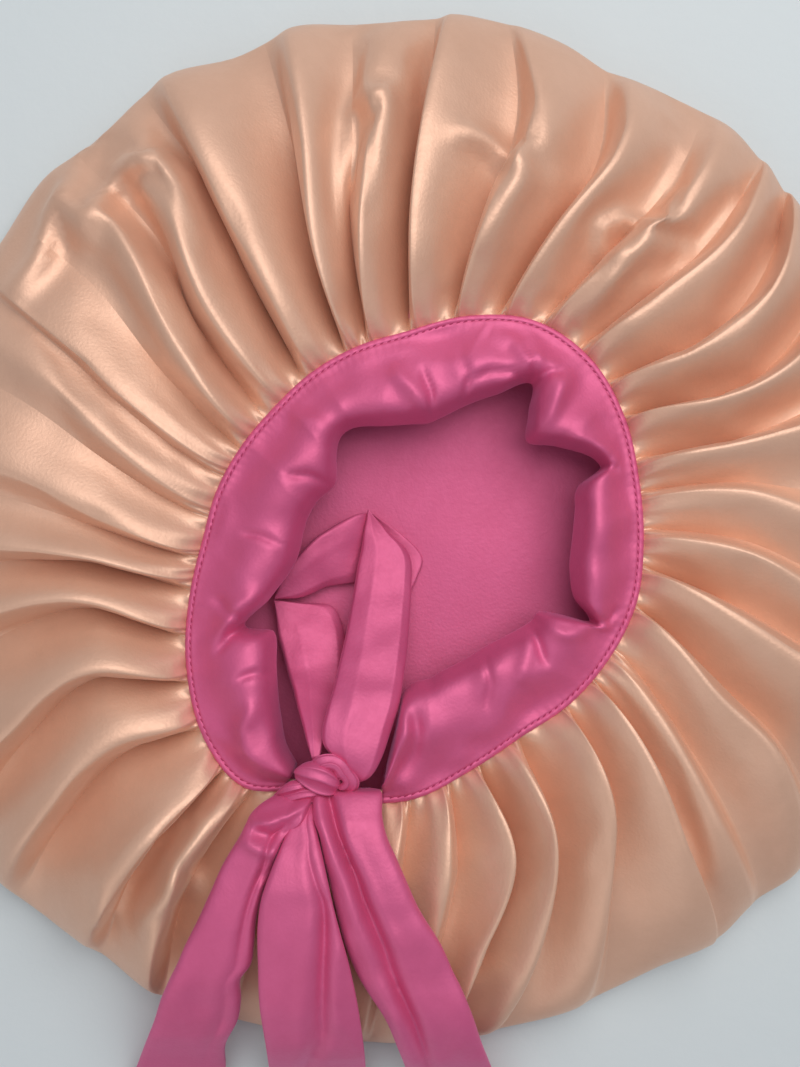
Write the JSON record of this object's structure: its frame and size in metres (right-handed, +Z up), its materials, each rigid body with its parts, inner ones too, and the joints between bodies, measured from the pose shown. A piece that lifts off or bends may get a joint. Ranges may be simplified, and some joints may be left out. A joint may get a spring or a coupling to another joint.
{
  "type": "sleep bonnet",
  "caption": "Round puffed satin sleep bonnet lying on its crown, with gathered folds, a lining, a wide folded band round its open mouth and ties knotted in a bow.",
  "frame": {"origin": "on the surface that the bonnet lies on, under the middle of its crown", "axes": "+Z up out of the open mouth, +X to the right as seen from above with the ties towards the viewer, +Y away from the ties"},
  "size_m": [0.4078, 0.438, 0.057],
  "materials": {
    "peach_satin": "soft satin weave with a bright sheen along its folds",
    "rose_satin": "soft satin weave with a bright sheen along its folds"
  },
  "bodies": {
    "root": {"crown": "peach_satin", "lining": "rose_satin", "band": "rose_satin", "knot": "rose_satin", "loop_upper": "rose_satin", "loop_lower": "rose_satin", "tail_left": "rose_satin", "tail_right": "rose_satin"}
  },
  "joints": []
}
